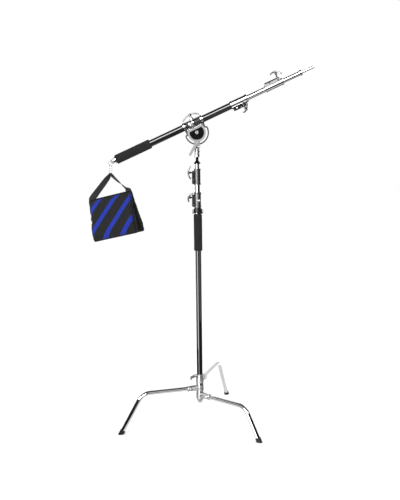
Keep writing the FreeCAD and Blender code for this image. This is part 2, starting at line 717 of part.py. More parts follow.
def boom_hook_rod():
    points = [V(x, 0, z) for x, z in HOOK_PATH]
    rod = swept(bent_path(points, HOOK_BEND), HOOK_R)
    return joined([rod, Part.makeSphere(HOOK_R, points[-1])])


def latch_pin_hole():
    x, z = LATCH_PIN
    slot = across(4.2, -2.2, 2.2, z, x)
    return joined([across(1.3, -6, 6, z, x), slot, box((x - 30, x), (-2.2, 2.2), (z - 12, z + 4.2))])


def hook_latch():
    """Sprung gate across the hook's mouth, with its pivot pin."""
    x, z = LATCH_PIN
    eye = across(3.4, -1.8, 1.8, z, x)
    pin = across(1.25, -5, 5, z, x)
    gate = box((-LATCH_LENGTH, 0), (-1.8, 1.8), (-1, 1))
    gate = placed(gate, FreeCAD.Placement(V(x, 0, z), FreeCAD.Rotation(Y, -8)))
    return joined([eye, pin, gate])


def boom_lock_frame(lock):
    """Turns a collar's drawing so that its Z runs along the boom and its X out to the screw.

    lean is the screw's turn towards the front from square above the boom (side 1) or
    square below it (side -1).
    """
    lean = math.radians(lock["lean"])
    out = V(0, -math.sin(lean), lock["side"] * math.cos(lean))
    return CRADLE.multiply(facing(V(0, 0, BOOM_OFFSET), X, out))


def boom_lock(name):
    lock = BOOM_LOCKS[name]
    collar = lock_collar(lock["span"], lock["radius"], *lock["bores"], lock["step"],
                         lock["ear"], lock["bolt"], lock["screw"])
    return placed(collar, boom_lock_frame(lock))


def boom_lock_bolt(name):
    lock = BOOM_LOCKS[name]
    return placed(lock_bolt(lock["ear"], lock["bolt"]), boom_lock_frame(lock))


def boom_lock_handle(name):
    lock = BOOM_LOCKS[name]
    out = facing(V(0, 0, lock["screw"]), X, Z)
    spin = FreeCAD.Placement(V(), FreeCAD.Rotation(Z, lock["spin"]))
    handle = t_handle(lock["bores"][1] + SCREW_GAP, lock["reach"])
    return placed(handle, boom_lock_frame(lock).multiply(out).multiply(spin))


def inner_boom_tube(radius, span, bore):
    """Boom tube with the bush at its rear end that runs in the bore of the tube outside it."""
    start, end = span
    inside = radius - BOOM_WALL
    bush = boom_tube_shape(bore - RUN, inside, start, start + BUSH_LENGTH)
    return placed(joined([boom_tube_shape(radius, inside, start, end), bush]), CRADLE)


def middle_boom_tube():
    return inner_boom_tube(MIDDLE_BOOM_R, MIDDLE_BOOM_SPAN, BOOM_R - TUBE_WALL)


def end_boom_tube():
    return inner_boom_tube(END_BOOM_R, END_BOOM_SPAN, MIDDLE_BOOM_R - BOOM_WALL)


def boom_stud():
    """Plug with a collar and the 16 mm stud that carries the load."""
    start, end = STUD_SPAN
    neck = start + STUD_COLLAR + 26
    pieces = [
        along_boom(END_BOOM_R - BOOM_WALL, start - 35, start),
        along_boom(18, start, start + STUD_COLLAR - 2),
        along_boom(15, start + STUD_COLLAR - 2, start + STUD_COLLAR),
        along_boom(SPIGOT_R, start + STUD_COLLAR, end),
    ]
    groove = boom_tube_shape(SPIGOT_R + 5, SPIGOT_R - 1.2, neck, neck + 14)
    return placed(joined(pieces).cut(groove), CRADLE)


# ---------------------------------------------------------------- counterweight bag
def bag_link():
    """Oval link; its plane is turned from the boom's so that it crosses the hook."""
    top, drop = LINK_HALF, LINK_DROP
    low = top - drop
    across_top = Part.Arc(V(-top, 0, -top), V(0, 0, 0), V(top, 0, -top))
    right = Part.LineSegment(V(top, 0, -top), V(top, 0, low))
    across_foot = Part.Arc(V(top, 0, low), V(0, 0, low - top), V(-top, 0, low))
    left = Part.LineSegment(V(-top, 0, low), V(-top, 0, -top))
    path = Part.Wire([line.toShape() for line in (across_top, right, across_foot, left)])
    ahead = path.OrderedEdges[0].tangentAt(path.OrderedEdges[0].FirstParameter)
    profile = Part.Wire([Part.makeCircle(LINK_ROD_R, V(-top, 0, -top), ahead)])
    oval = path.makePipeShell([profile], True, True)
    hang = FreeCAD.Placement(V(LINK_TOP[0], 0, LINK_TOP[1]), FreeCAD.Rotation(Z, LINK_TURN))
    return placed(oval, hang)


def link_foot():
    """Middle of the link's lower bar, where the strap hangs."""
    return V(LINK_TOP[0], 0, LINK_TOP[1] - LINK_DROP)


def bag_frame():
    """Drawing of the bag: X across it, Y away from its front, Z up from its top edge."""
    turn = FreeCAD.Rotation(Z, BAG_YAW).multiply(FreeCAD.Rotation(Y, BAG_ROLL))
    return FreeCAD.Placement(BAG_CENTRE, turn)


def pouch(side):
    """Sand-filled pouch, thin at its top edge and full below, leaning out at its foot."""
    levels = ((0, 4), (-25, 7.5), (-90, 15.5), (-170, 22.5), (-225, 20), (-BAG_HEIGHT, 4))
    faces = []
    for facing_way in (-1, 1):
        face = Part.BSplineCurve()
        face.interpolate([V(0, facing_way * half, z) for z, half in levels])
        faces.append(face.toShape())
    edges = [Part.LineSegment(V(0, -half, z), V(0, half, z)).toShape()
             for z, half in (levels[0], levels[-1])]
    section = Part.Face(Part.Wire(Part.sortEdges(faces + edges)[0]))
    body = section.extrude(X * BAG_WIDTH)
    body.translate(X * (-BAG_WIDTH / 2))
    outline = box((-BAG_WIDTH / 2, BAG_WIDTH / 2), (-60, 60), (-BAG_HEIGHT - 2, 2))
    outline = soften(outline, 22, lambda edge: edge.BoundBox.YLength > 100)
    body = body.common(outline)
    lean = FreeCAD.Placement(V(0, side * POUCH_GAP, 0), FreeCAD.Rotation(X, side * POUCH_SPLAY))
    return placed(placed(body, lean), bag_frame())


def strap_section(centre, width, width_way, normal):
    """Flat cross-section of the webbing."""
    half = width_way * (width / 2)
    thick = normal * (STRAP_THICK / 2)
    corners = [centre - half - thick, centre + half - thick,
               centre + half + thick, centre - half + thick]
    return Part.makePolygon(corners + [corners[0]])


def bag_strap():
    """Webbing from between the pouches at one top corner, over the link, to the other."""
    bar = level(LINK_TURN)
    out = level(LINK_TURN - 90)
    bend = LINK_ROD_R + STRAP_CLEAR + STRAP_THICK / 2
    edge = link_foot() - bar * (STRAP_NARROW / 2)
    over = Part.makeCylinder(bend + STRAP_THICK / 2, STRAP_NARROW, edge, bar)
    over = over.cut(Part.makeCylinder(bend - STRAP_THICK / 2, STRAP_NARROW, edge, bar))
    pieces = [over.cut(Part.makeBox(60, 60, 30, link_foot() + V(-30, -30, -30)))]
    frame = bag_frame()
    across_bag, away = frame.Rotation.multVec(X), frame.Rotation.multVec(Y)
    for side in (-1, 1):
        shoulder = link_foot() + out * (side * bend)
        lifted = frame.multVec(V(side * STRAP_FOOT, 0, STRAP_LIFT))
        sewn = frame.multVec(V(side * STRAP_FOOT, 0, -STRAP_SEWN))
        sections = [
            strap_section(shoulder, STRAP_NARROW, bar, out),
            strap_section(shoulder - Z * 6, STRAP_NARROW, bar, out),
            strap_section(lifted, STRAP_WIDTH, across_bag, away * -1),
            strap_section(sewn, STRAP_WIDTH, across_bag, away * -1),
        ]
        pieces += [Part.makeLoft(list(pair), True, True) for pair in zip(sections, sections[1:])]
    return joined(pieces)


# ---------------------------------------------------------------- all the nodes
NODES = {
    "base_post": base_post,
    "base_cap": base_cap,
    "spacer_rings": spacer_rings,
    "base_lock_handle": base_lock_handle,
    "column_tube": column_tube,
    "column_foam_grip": lambda: foam_sleeve(FOAM_R, COLUMN_R, *FOAM_SPAN),
    "accessory_collar": accessory_collar,
    "lower_lock_collar": lower_lock_collar,
    "lower_lock_bolt": lower_lock_bolt,
    "lower_lock_handle": lower_lock_handle,
    "middle_riser": middle_riser,
    "upper_lock_collar": upper_lock_collar,
    "upper_lock_bolt": upper_lock_bolt,
    "upper_lock_handle": upper_lock_handle,
    "top_riser": top_riser,
    "top_spigot": top_spigot,
    "head_yoke": head_yoke,
    "socket_screw": socket_screw,
    "pivot_bolt": pivot_bolt,
    "tilt_lock_bolt": tilt_lock_bolt,
    "clamp_washers": clamp_washers,
    "tilt_lever": tilt_lever,
    "front_tilt_plate": lambda: tilt_plate(True),
    "rear_tilt_plate": lambda: tilt_plate(False),
    "friction_discs": friction_discs,
    "clamp_saddle": clamp_saddle,
    "clamp_cap": clamp_cap,
    "clamp_liner": clamp_liner,
    "cradle_bolts": cradle_bolts,
    "clamp_handle": clamp_handle,
    "boom_tube": boom_tube,
    "boom_foam_grip": boom_foam_grip,
    "boom_end_plug": boom_end_plug,
    "boom_hook": boom_hook_rod,
    "hook_latch": hook_latch,
    "inner_boom_lock": lambda: boom_lock("inner"),
    "inner_boom_lock_bolt": lambda: boom_lock_bolt("inner"),
    "inner_boom_lock_handle": lambda: boom_lock_handle("inner"),
    "middle_boom_tube": middle_boom_tube,
    "outer_boom_lock": lambda: boom_lock("outer"),
    "outer_boom_lock_bolt": lambda: boom_lock_bolt("outer"),
    "outer_boom_lock_handle": lambda: boom_lock_handle("outer"),
    "end_boom_tube": end_boom_tube,
    "boom_stud": boom_stud,
    "bag_link": bag_link,
    "bag_strap": bag_strap,
    "front_pouch": lambda: pouch(-1),
    "rear_pouch": lambda: pouch(1),
}
for leg_name in LEGS:
    NODES[leg_name + "_bracket"] = lambda name=leg_name: bracket(name)
    NODES[leg_name + "_leg"] = lambda name=leg_name: leg(name)
    NODES[leg_name + "_leg_bolt"] = lambda name=leg_name: leg_bolt(name)
    NODES[leg_name + "_foot"] = lambda name=leg_name: foot(name)

os.makedirs("parts", exist_ok=True)
for node, make in NODES.items():
    shape = make()
    shape.translate(COLUMN_FROM_ORIGIN)
    shape.exportStep("parts/" + node + ".step")
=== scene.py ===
import json
import math
import random

import bmesh
import bpy
from mathutils import Matrix, Vector
from mathutils.bvhtree import BVHTree


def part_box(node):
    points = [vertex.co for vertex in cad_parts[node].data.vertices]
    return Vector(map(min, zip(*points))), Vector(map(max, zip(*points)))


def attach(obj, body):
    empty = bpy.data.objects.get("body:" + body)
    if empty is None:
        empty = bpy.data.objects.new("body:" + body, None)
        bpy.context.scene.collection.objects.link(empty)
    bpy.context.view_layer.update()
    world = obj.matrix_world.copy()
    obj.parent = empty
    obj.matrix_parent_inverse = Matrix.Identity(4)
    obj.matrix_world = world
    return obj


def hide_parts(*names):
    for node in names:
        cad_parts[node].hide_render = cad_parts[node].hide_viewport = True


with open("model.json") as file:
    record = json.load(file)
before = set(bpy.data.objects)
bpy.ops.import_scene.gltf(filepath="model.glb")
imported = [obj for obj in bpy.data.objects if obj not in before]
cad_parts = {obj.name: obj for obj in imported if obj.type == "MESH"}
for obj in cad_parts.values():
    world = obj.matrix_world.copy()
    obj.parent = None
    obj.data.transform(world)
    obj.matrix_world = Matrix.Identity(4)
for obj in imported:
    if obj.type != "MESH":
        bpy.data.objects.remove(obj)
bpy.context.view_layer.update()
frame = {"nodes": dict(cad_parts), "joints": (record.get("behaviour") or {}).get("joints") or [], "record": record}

MM = 0.001
NODES = frame["nodes"]
JOINTS = {joint["name"]: joint for joint in frame["joints"]}

# Lines that the frame's joints give: the column's axis, and the boom's own directions
COLUMN = Vector(JOINTS["head_turn"]["pos_m"])
PIVOT = Vector(JOINTS["boom_tilt"]["pos_m"])
ALONG = Vector(JOINTS["boom_slide"]["axis"]).normalized()
ACROSS = Vector((-ALONG.z, 0, ALONG.x))
BOOM_OFFSET = 56 * MM  # from the pivot to the boom's axis, square to it
LINK_FOOT = Vector(JOINTS["bag_swing"]["pos_m"])
LINK_BAR = Vector(JOINTS["bag_swing"]["axis"]).normalized()

# The counterweight bag: its own frame has X across it, Y away from its front, Z up from its top
BAG_TOP = Vector((-531, -50, 1366.5)) * MM
BAG_YAW = math.radians(-15)
BAG_ROLL = math.radians(-12.5)
BAG_WIDTH = 276 * MM
BAG_HEIGHT = 258 * MM
POUCH_SPLAY = math.radians(12.5)
POUCH_GAP = 5.7 * MM  # from the bag's middle to a pouch's top
POUCH_ROUNDING = 22 * MM
STRAP_FOOT = 119 * MM  # from the bag's middle to the middle of a strap end
STRAP_WIDTH = 38 * MM
STRAP_BUNCHED = 13.5 * MM  # its width inside the link
BAG = (Matrix.Translation(BAG_TOP) @ Matrix.Rotation(BAG_YAW, 4, "Z")
       @ Matrix.Rotation(BAG_ROLL, 4, "Y"))


def boom_point(station):
    """Point at a station along the boom's axis, counted from beside the pivot."""
    return PIVOT + ALONG * station + ACROSS * BOOM_OFFSET


# ------------------------------------------------------------------ node materials
class Shader:
    """One node material, with short calls for the nodes that the looks below share."""

    def __init__(self, name, **inputs):
        self.material = bpy.data.materials.new(name)
        self.material.use_nodes = True
        self.tree = self.material.node_tree
        self.bsdf = self.tree.nodes["Principled BSDF"]
        for label, value in inputs.items():
            self.bsdf.inputs[label.replace("_", " ")].default_value = value

    def add(self, kind, **settings):
        made = self.tree.nodes.new(kind)
        for label, value in settings.items():
            setattr(made, label, value)
        return made

    def link(self, output, target):
        self.tree.links.new(output, target)

    def place(self, source="Object", stretch=(1, 1, 1), turn=(0, 0, 0)):
        """Coordinates of the piece itself, stretched and turned."""
        where = self.add("ShaderNodeTexCoord")
        fit = self.add("ShaderNodeMapping")
        fit.inputs["Scale"].default_value = stretch
        fit.inputs["Rotation"].default_value = turn
        self.link(where.outputs[source], fit.inputs["Vector"])
        return fit.outputs["Vector"]

    def noise(self, scale, detail=3.0, roughness=0.5, at=None):
        made = self.add("ShaderNodeTexNoise")
        made.inputs["Scale"].default_value = scale
        made.inputs["Detail"].default_value = detail
        made.inputs["Roughness"].default_value = roughness
        self.link(at or self.place(), made.inputs["Vector"])
        return made.outputs["Fac"]

    def pores(self, scale, at=None):
        made = self.add("ShaderNodeTexVoronoi")
        made.inputs["Scale"].default_value = scale
        self.link(at or self.place(), made.inputs["Vector"])
        return made.outputs["Distance"]

    def wave(self, scale, direction, at=None):
        made = self.add("ShaderNodeTexWave", bands_direction=direction)
        made.inputs["Scale"].default_value = scale
        self.link(at or self.place(), made.inputs["Vector"])
        return made.outputs["Fac"]

    def math(self, operation, first, second):
        made = self.add("ShaderNodeMath", operation=operation)
        for slot, value in enumerate((first, second)):
            if isinstance(value, (int, float)):
                made.inputs[slot].default_value = value
            else:
                self.link(value, made.inputs[slot])
        return made.outputs["Value"]

    def ramp(self, factor, *stops):
        """Colours or greys placed along a factor."""
        made = self.add("ShaderNodeValToRGB")
        while len(made.color_ramp.elements) < len(stops):
            made.color_ramp.elements.new(0.5)
        for element, (position, colour) in zip(made.color_ramp.elements, stops):
            element.position = position
            grey = isinstance(colour, (int, float))
            element.color = (colour, colour, colour, 1) if grey else (*colour, 1)
        self.link(factor, made.inputs["Fac"])
        return made.outputs["Color"]

    def spread(self, factor, low, high):
        """Factor from 0 to 1 carried to another range."""
        made = self.add("ShaderNodeMapRange")
        made.inputs["To Min"].default_value = low
        made.inputs["To Max"].default_value = high
        self.link(factor, made.inputs["Value"])
        return made.outputs["Result"]

    def bump(self, height, strength, distance):
        made = self.add("ShaderNodeBump")
        made.inputs["Strength"].default_value = strength
        made.inputs["Distance"].default_value = distance
        self.link(height, made.inputs["Height"])
        if self.bsdf.inputs["Normal"].is_linked:
            self.link(self.bsdf.inputs["Normal"].links[0].from_socket, made.inputs["Normal"])
        self.link(made.outputs["Normal"], self.bsdf.inputs["Normal"])

    def drive(self, label, output):
        self.link(output, self.bsdf.inputs[label])


def plated(name, light, dark, smooth, hazy, grain=0.0):
    """Plated or polished metal, with smears in its shine and faint hairline scratches."""
    look = Shader(name, Metallic=1.0)
    smear = look.noise(9, 4, 0.6)
    look.drive("Base Color", look.ramp(smear, (0.3, dark), (0.7, light)))
    fine = look.noise(140, 3, 0.7)
    mixed = look.math("MULTIPLY", look.math("ADD", smear, fine), 0.5)
    look.drive("Roughness", look.spread(mixed, smooth, hazy))
    scratches = look.noise(60, 2, 0.8, look.place(stretch=(1, 1, 14)))
    look.bump(scratches, 0.04 + grain, 0.0002)
    return look.material


def lacquer(name, colour, roughness, peel=0.05, coat=1.0, gloss=0.5):
    """Paint over metal, with a slight orange peel and dust in the shine."""
    look = Shader(name, Specular_IOR_Level=gloss, Coat_Weight=coat, Coat_Roughness=0.04)
    dust = look.noise(35, 5, 0.65)
    paler = tuple(min(1, part * 1.7 + 0.004) for part in colour)
    look.drive("Base Color", look.ramp(dust, (0.35, colour), (0.8, paler)))
    look.drive("Roughness", look.spread(dust, roughness * 0.7, roughness * 1.5))
    look.bump(look.noise(420, 2), peel, 0.0003)
    return look.material


def bow_look():
    """Tilt plates: bright round the disc, and darker plating on the slotted bow outside it."""
    look = Shader("tilt_plates", Metallic=1.0)
    from_pivot = look.add("ShaderNodeVectorMath", operation="DISTANCE")
    look.link(look.place(stretch=(1, 0, 1)), from_pivot.inputs[0])
    from_pivot.inputs[1].default_value = (PIVOT.x, 0, PIVOT.z)
    reach = from_pivot.outputs["Value"]
    smear = look.noise(14, 4, 0.6)
    wavering = look.math("ADD", reach, look.math("MULTIPLY", smear, 0.0006))
    ramp_length = 0.1  # metres from the pivot that the colour ramp covers
    share = look.math("MULTIPLY", wavering, 1 / ramp_length)
    look.drive("Base Color", look.ramp(share, (0.535, 0.8), (0.542, 0.2), (0.9, 0.28)))
    look.drive("Roughness", look.spread(smear, 0.07, 0.2))
    look.bump(look.noise(90, 2, 0.8, look.place(stretch=(1, 1, 12))), 0.06, 0.0002)
    return look.material


def foam_look():
    """Closed-cell foam, with fine cells and faint paler patches."""
    look = Shader("foam", Roughness=0.92, Specular_IOR_Level=0.15)
    cells = look.pores(850)
    patches = look.noise(45, 4)
    mixed = look.math("MULTIPLY", look.math("ADD", cells, patches), 0.5)
    look.drive("Base Color", look.ramp(mixed, (0.15, 0.01), (0.7, 0.022)))
    look.bump(cells, 0.3, 0.0006)
    look.bump(patches, 0.15, 0.0008)
    return look.material


def moulded(name, colour, roughness, grain):
    """Rubber or plastic with a fine moulded grain."""
    look = Shader(name, Specular_IOR_Level=0.4)
    grime = look.noise(30, 5, 0.6)
    paler = tuple(part * 2.2 + 0.006 for part in colour)
    look.drive("Base Color", look.ramp(grime, (0.35, colour), (0.75, paler)))
    look.drive("Roughness", look.spread(grime, roughness - 0.1, roughness + 0.12))
    look.bump(look.noise(grain, 3, 0.7), 0.25, 0.0004)
    return look.material


def woven(name, dark, light, threads, source="Object", turn=(0, 0, 0)):
    """Plain weave: two crossed rows of threads, with slubs and a soft sheen."""
    slub = 0.25
    look = Shader(name, Roughness=0.88, Specular_IOR_Level=0.15, Sheen_Weight=0.04)
    where = look.place(source, turn=turn)
    warp = look.wave(threads, "X", where)
    weft = look.wave(threads, "Z" if source == "Object" else "Y", where)
    cloth = look.math("MAXIMUM", warp, weft)
    slubs = look.noise(60, 4, 0.6, where)
    even = look.math("MULTIPLY", cloth, 1 - slub)
    shade = look.math("ADD", even, look.math("MULTIPLY", slubs, slub))
    look.drive("Base Color", look.ramp(shade, (0.25, dark), (0.95, light)))
    look.bump(cloth, 0.4, 0.0004)
    look.bump(slubs, 0.25, 0.0008)
    return look.material


BAG_TURN = (0, -BAG_ROLL, -BAG_YAW)
BAG_THREADS = 260
LOOKS = {
    "chrome": plated("chrome", 0.86, 0.76, 0.03, 0.11),
    "dark_chrome": bow_look(),
    "steel": plated("zinc_steel", 0.72, 0.58, 0.14, 0.3, 0.05),
    "casting": plated("plated_casting", 0.7, 0.5, 0.34, 0.5, 0.2),
    # Column collars: the tubes' chrome with its colour darkened, painted shade standing in for the dark
    # reflections they show
    "collar": plated("collar_chrome_painted_dark", 0.17, 0.11, 0.36, 0.5, 0.1),
    # Handles: the chrome with its colour darkened, painted shade that keeps the bright panels' reflection in them
    # from blowing out to white
    "handle": plated("satin_handle", 0.32, 0.2, 0.2, 0.36, 0.1),
    "cast_alloy": plated("cast_alloy", 0.9, 0.8, 0.1, 0.24, 0.08),
    "gloss_black": lacquer("gloss_black", (0.006, 0.006, 0.007), 0.07),
    "satin_black": lacquer("satin_black", (0.006, 0.006, 0.006), 0.3, 0.12, 0.2, 0.3),
    "black_metal": lacquer("black_metal", (0.003, 0.003, 0.003), 0.5, 0.2, 0.0, 0.03),
    "foam": foam_look(),
    "foot_rubber": moulded("foot_rubber", (0.012, 0.012, 0.012), 0.6, 500),
    "liner_plastic": moulded("liner_plastic", (0.01, 0.01, 0.01), 0.45, 300),
    "bag_cloth": woven("bag_cloth", (0.004, 0.004, 0.004), (0.021, 0.021, 0.021),
                       BAG_THREADS, turn=BAG_TURN),
    "stripe_cloth": woven("stripe_cloth", (0.008, 0.016, 0.17), (0.022, 0.045, 0.4),
                          BAG_THREADS, turn=BAG_TURN),
    "side_cloth": woven("side_cloth", (0.002, 0.002, 0.002), (0.008, 0.008, 0.009),
                        BAG_THREADS, turn=BAG_TURN),
    "webbing": woven("webbing", (0.008, 0.008, 0.009), (0.05, 0.05, 0.052), 180, "UV"),
    "thread": moulded("thread", (0.02, 0.02, 0.022), 0.7, 900),
    "label": moulded("label", (0.72, 0.72, 0.72), 0.4, 200),
}

# Each CAD node takes its slot's look, except for castings, and for column collars and handles, which take darker
# copies of the chrome as painted shade
SHARP_EDGE = math.radians(28)
SLOTS = {entry["node"]: entry["material_slot"] for entry in frame["record"]["subparts"]}
for node, solid in NODES.items():
    solid.data.materials.clear()
    finish = SLOTS[node]
    if node.endswith("_bracket") or node in ("base_post", "base_cap", "head_yoke"):
        finish = "casting"
    elif node in ("lower_lock_collar", "upper_lock_collar"):
        finish = "collar"
    elif node.endswith("_handle"):
        finish = "handle"
    solid.data.materials.append(LOOKS[finish])
    if "custom_normal" in solid.data.attributes:
        solid.data.attributes.remove(solid.data.attributes["custom_normal"])
    solid.data.shade_smooth()
    solid.data.set_sharp_from_angle(angle=SHARP_EDGE)


# ------------------------------------------------------------------ mesh helpers
def piece(name, vertices, faces, looks, body):
    """Mesh object that rides on a body and takes its finish from a material slot."""
    mesh = bpy.data.meshes.new(name)
    mesh.from_pydata([tuple(v) for v in vertices], [], faces)
    mesh.update()
    made = bpy.data.objects.new(name, mesh)
    bpy.context.scene.collection.objects.link(made)
    for look in looks:
        mesh.materials.append(LOOKS[look])
    mesh.shade_smooth()
    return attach(made, body)


def side_axes(forward):
    """Two directions square to one."""
    near = Vector((0, 0, 1)) if abs(forward.z) < 0.9 else Vector((1, 0, 0))
    first = forward.cross(near).normalized()
    return first, forward.cross(first).normalized()


def lathe(centre, forward, outline, segments=48, wobble=None):
    """Vertices and faces of an outline of (radius, station) pairs turned about an axis."""
    first, second = side_axes(forward)
    vertices, faces = [], []
    for row, (radius, station) in enumerate(outline):
        for step in range(segments):
            angle = 2 * math.pi * step / segments
            reach = radius + (wobble(angle, station) if wobble else 0)
            out = first * math.cos(angle) + second * math.sin(angle)
            vertices.append(centre + forward * station + out * reach)
        if row:
            for step in range(segments):
                after = (step + 1) % segments
                low, high = (row - 1) * segments, row * segments
                faces.append((low + step, low + after, high + after, high + step))
    return vertices, faces


def ring_piece(name, centre, forward, outline, look, slot, body, **shape):
    """Closed ring: the outline goes round the wall's section and ends where it began."""
    vertices, faces = lathe(centre, forward, outline, **shape)
    segments = shape.get("segments", 48)
    last = (len(outline) - 1) * segments
    faces += [(last + s, last + (s + 1) % segments, (s + 1) % segments, s) for s in range(segments)]
    return piece(name, vertices, faces, [look], body)


def tube_mesh(points, radius, segments=10, closed=False):
    """Vertices and faces of a round cord along points."""
    vertices, faces = [], []
    count = len(points)
    guide = None
    for index, point in enumerate(points):
        before = points[index - 1] if index or closed else point
        after = points[(index + 1) % count] if index + 1 < count or closed else point
        forward = (after - before).normalized()
        if guide is None:
            guide = side_axes(forward)[0]
        guide = (guide - forward * guide.dot(forward)).normalized()
        other = forward.cross(guide)
        for step in range(segments):
            angle = 2 * math.pi * step / segments
            vertices.append(point + (guide * math.cos(angle) + other * math.sin(angle)) * radius)
    rows = count if closed else count - 1
    for row in range(rows):
        low, high = row * segments, ((row + 1) % count) * segments
        for step in range(segments):
            after = (step + 1) % segments
            faces.append((low + step, low + after, high + after, high + step))
    if not closed:
        faces.append(tuple(range(segments - 1, -1, -1)))
        faces.append(tuple(range((count - 1) * segments, count * segments)))
    return vertices, faces


def gathered(name, meshes, look, body):
    """Many small meshes as one piece."""
    vertices, faces = [], []
    for some_vertices, some_faces in meshes:
        base = len(vertices)
        vertices += some_vertices
        faces += [tuple(base + index for index in face) for face in some_faces]
    return piece(name, vertices, faces, [look], body)


# ------------------------------------------------------------------ foam grips
def foam_grip(name, node, centre, forward, start, end, inner, outer, body):
    """Foam sleeve with rolled ends and a slightly uneven wall."""
    rng = random.Random(name)
    humps = [(rng.randint(2, 5), rng.uniform(20, 90), rng.uniform(0, 6.3)) for _ in range(5)]
    hump_height = 0.05 * MM

    def wobble(angle, station):
        if not start < station < end:
            return 0
        return sum(math.sin(n * angle + k * station + p) for n, k, p in humps) * hump_height

    lip = 4 * MM
    recess = 1 * MM
    arc_steps, rows = 6, 40
    outline = [(inner, start + recess)]
    for step in range(arc_steps + 1):
        turn = math.pi / 2 * step / arc_steps
        outline.append((outer - lip + lip * math.sin(turn), start + lip - lip * math.cos(turn)))
    for row in range(1, rows):
        outline.append((outer, start + lip + (end - start - 2 * lip) * row / rows))
    for step in range(arc_steps + 1):
        turn = math.pi / 2 * step / arc_steps
        outline.append((outer - lip + lip * math.cos(turn), end - lip + lip * math.sin(turn)))
    outline.append((inner, end - recess))
    grip = ring_piece(name, centre, forward, outline, "foam", "foam", body,
                      segments=96, wobble=wobble)
    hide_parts(node)


COLUMN_RADIUS = 17.5 * MM
BOOM_RADIUS = 20 * MM
BOOM_FOAM_ENDS = (-490 * MM, -270 * MM)
BOOM_FOAM_RADIUS = 27 * MM

low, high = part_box("column_foam_grip")
foam_grip("column_foam_sleeve", "column_foam_grip", Vector((COLUMN.x, COLUMN.y, 0)),
          Vector((0, 0, 1)), low.z, high.z, COLUMN_RADIUS, (high.x - low.x) / 2, "column")
foam_grip("boom_foam_sleeve", "boom_foam_grip", boom_point(0), ALONG,
          *BOOM_FOAM_ENDS, BOOM_RADIUS, BOOM_FOAM_RADIUS, "boom")


# ------------------------------------------------------------------ counterweight bag
def pouch_frame(side):
    """Frame of a pouch. Side -1 is the front one; Z runs up its face, which leans out below."""
    lean = Matrix.Rotation(side * POUCH_SPLAY, 4, "X")
    return BAG @ Matrix.Translation((0, side * POUCH_GAP, 0)) @ lean


def evaluated_mesh(made):
    """Mesh of an object with its modifiers applied."""
    bpy.context.view_layer.update()
    graph = bpy.context.evaluated_depsgraph_get()
    return bpy.data.meshes.new_from_object(made.evaluated_get(graph))


def settle(made):
    """Keep what the modifiers made, and drop them."""
    baked = evaluated_mesh(made)
    made.modifiers.clear()
    made.data = baked


def square_corners(made, side):
    """Draw the pouch's rounded corners most of the way out to square, sewn ones."""
    home = pouch_frame(side)
    inward = home.inverted()
    middle = -BAG_HEIGHT / 2
    squareness = 0.8
    for vertex in made.data.vertices:
        place = inward @ vertex.co
        wide = abs(place.x) - (BAG_WIDTH / 2 - POUCH_ROUNDING)
        tall = abs(place.z - middle) - (BAG_HEIGHT / 2 - POUCH_ROUNDING)
        if wide > 0 and tall > 0:
            stretch = (math.hypot(wide, tall) / max(wide, tall) - 1) * squareness
            place.x += math.copysign(wide * stretch, place.x)
            place.z += math.copysign(tall * stretch, place.z - middle)
            vertex.co = home @ place


VOXEL = 5 * MM
HELD_TOP = 9 * MM  # cloth this near a pouch's top is sewn down and doesn't swell
CLOTH_FRAMES = 20
MOST_SWELL = 9 * MM
TWIN_CLEARANCE = 0.8 * MM  # from the middle plane between the pouches


def blown_out(node, side):
    """Copy of a pouch, swelled by cloth pressure as its sand does, and kept off its twin."""
    name = "front_bag" if side < 0 else "rear_bag"
    made = bpy.data.objects.new(name, NODES[node].data.copy())
    bpy.context.scene.collection.objects.link(made)
    voxels = made.modifiers.new("voxels", "REMESH")
    voxels.mode = "VOXEL"
    voxels.voxel_size = VOXEL
    settle(made)
    square_corners(made, side)
    inward = pouch_frame(side).inverted()
    start = [vertex.co.copy() for vertex in made.data.vertices]
    held = made.vertex_groups.new(name="held")
    for index, point in enumerate(start):
        if (inward @ point).z > -HELD_TOP:
            held.add([index], 1.0, "REPLACE")
    cloth = made.modifiers.new("cloth", "CLOTH").settings
    cloth.quality = 6
    cloth.mass = 0.3
    cloth.tension_stiffness = 30
    cloth.compression_stiffness = 30
    cloth.shear_stiffness = 12
    cloth.bending_stiffness = 0.6
    cloth.air_damping = 4
    cloth.use_pressure = True
    cloth.uniform_pressure_force = 4
    cloth.vertex_group_mass = "held"
    cloth.effector_weights.gravity = 0
    scene = bpy.context.scene
    for step in range(1, CLOTH_FRAMES + 1):
        scene.frame_set(step)
    settle(made)
    scene.frame_set(1)
    bag_in = BAG.inverted()
    for vertex, before in zip(made.data.vertices, start):
        moved = vertex.co - before
        if moved.length > MOST_SWELL:
            moved *= MOST_SWELL / moved.length
        place = bag_in @ (before + moved)
        place.y = side * max(side * place.y, TWIN_CLEARANCE)
        vertex.co = BAG @ place
    return made


STRIPES = 4
STRIPE_ANGLE = math.radians(47.5)
STRIPE_FIRST = 60 * MM
STRIPE_STEP = 81.8 * MM
STRIPE_WIDTH = 26 * MM
STRIPE_WAY = Vector((math.sin(STRIPE_ANGLE), 0, -math.cos(STRIPE_ANGLE)))
STRIPE_CORNER = Vector((-BAG_WIDTH / 2, 0, 0))


